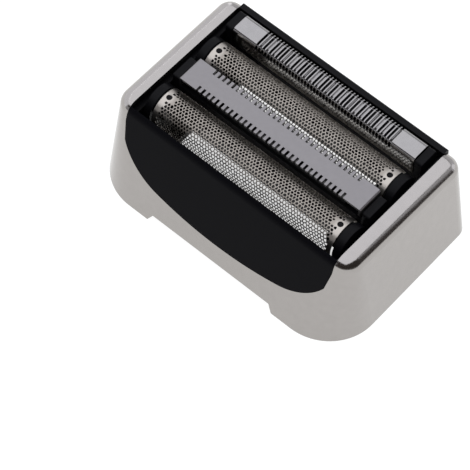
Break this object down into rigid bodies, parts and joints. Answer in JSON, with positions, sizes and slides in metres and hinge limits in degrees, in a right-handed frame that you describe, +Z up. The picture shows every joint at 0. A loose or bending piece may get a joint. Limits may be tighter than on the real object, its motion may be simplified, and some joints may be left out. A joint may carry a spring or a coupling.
{
  "type": "shaver foil head",
  "caption": "Replacement head for a foil shaver: plated shell with sprung perforated foils, a middle comb trimmer and a slotted trimmer, open below for the cutters.",
  "frame": {"origin": "middle of the rim that the head stands on", "axes": "+X along the foils, -Y to the front with the black apron, +Z up through the foils"},
  "size_m": [0.054, 0.034, 0.02],
  "materials": {
    "shell_plate": "satin nickel plate",
    "apron_black": "fine matt black",
    "black_plastic": "moulded black",
    "foil_nickel": "perforated nickel foil",
    "comb_steel": "brushed along its length",
    "blade_steel": "ground steel",
    "spring_steel": "bright spring strip"
  },
  "bodies": {
    "head_frame": {"outer_shell": "shell_plate", "front_apron": "apron_black", "inner_frame": "black_plastic", "retaining_frame": "black_plastic", "front_foil_springs": "spring_steel", "rear_foil_springs": "spring_steel", "middle_springs": "spring_steel", "slotted_springs": "spring_steel"},
    "front_foil_unit": {"front_foil": "foil_nickel", "front_foil_carrier": "black_plastic"},
    "rear_foil_unit": {"rear_foil": "foil_nickel", "rear_foil_carrier": "black_plastic"},
    "middle_trimmer_unit": {"middle_comb": "comb_steel", "middle_carrier": "black_plastic"},
    "slotted_trimmer_unit": {"slotted_comb": "comb_steel", "slotted_carrier": "black_plastic"},
    "middle_blade_unit": {"middle_blade": "blade_steel", "middle_driver": "black_plastic"},
    "slotted_blade_unit": {"slotted_blade": "blade_steel", "slotted_driver": "black_plastic"}
  },
  "joints": [
    {"name": "front_foil_float", "type": "slide", "parent": "head_frame", "child": "front_foil_unit", "axis": [0, 0, 1], "range_m": [-0.002, 0], "stiffness_N_per_m": 300, "springref_m": 0.002, "deforming": ["front_foil_springs"]},
    {"name": "rear_foil_float", "type": "slide", "parent": "head_frame", "child": "rear_foil_unit", "axis": [0, 0, 1], "range_m": [-0.002, 0], "stiffness_N_per_m": 300, "springref_m": 0.002, "deforming": ["rear_foil_springs"]},
    {"name": "middle_trimmer_float", "type": "slide", "parent": "head_frame", "child": "middle_trimmer_unit", "axis": [0, 0, 1], "range_m": [-0.002, 0], "stiffness_N_per_m": 300, "springref_m": 0.002, "deforming": ["middle_springs"]},
    {"name": "slotted_trimmer_float", "type": "slide", "parent": "head_frame", "child": "slotted_trimmer_unit", "axis": [0, 0, 1], "range_m": [-0.002, 0], "stiffness_N_per_m": 300, "springref_m": 0.002, "deforming": ["slotted_springs"]},
    {"name": "middle_blade_slide", "type": "slide", "parent": "middle_trimmer_unit", "child": "middle_blade_unit", "axis": [1, 0, 0], "range_m": [-0.0011, 0.0011]},
    {"name": "slotted_blade_slide", "type": "slide", "parent": "slotted_trimmer_unit", "child": "slotted_blade_unit", "axis": [1, 0, 0], "range_m": [-0.0011, 0.0011]}
  ]
}
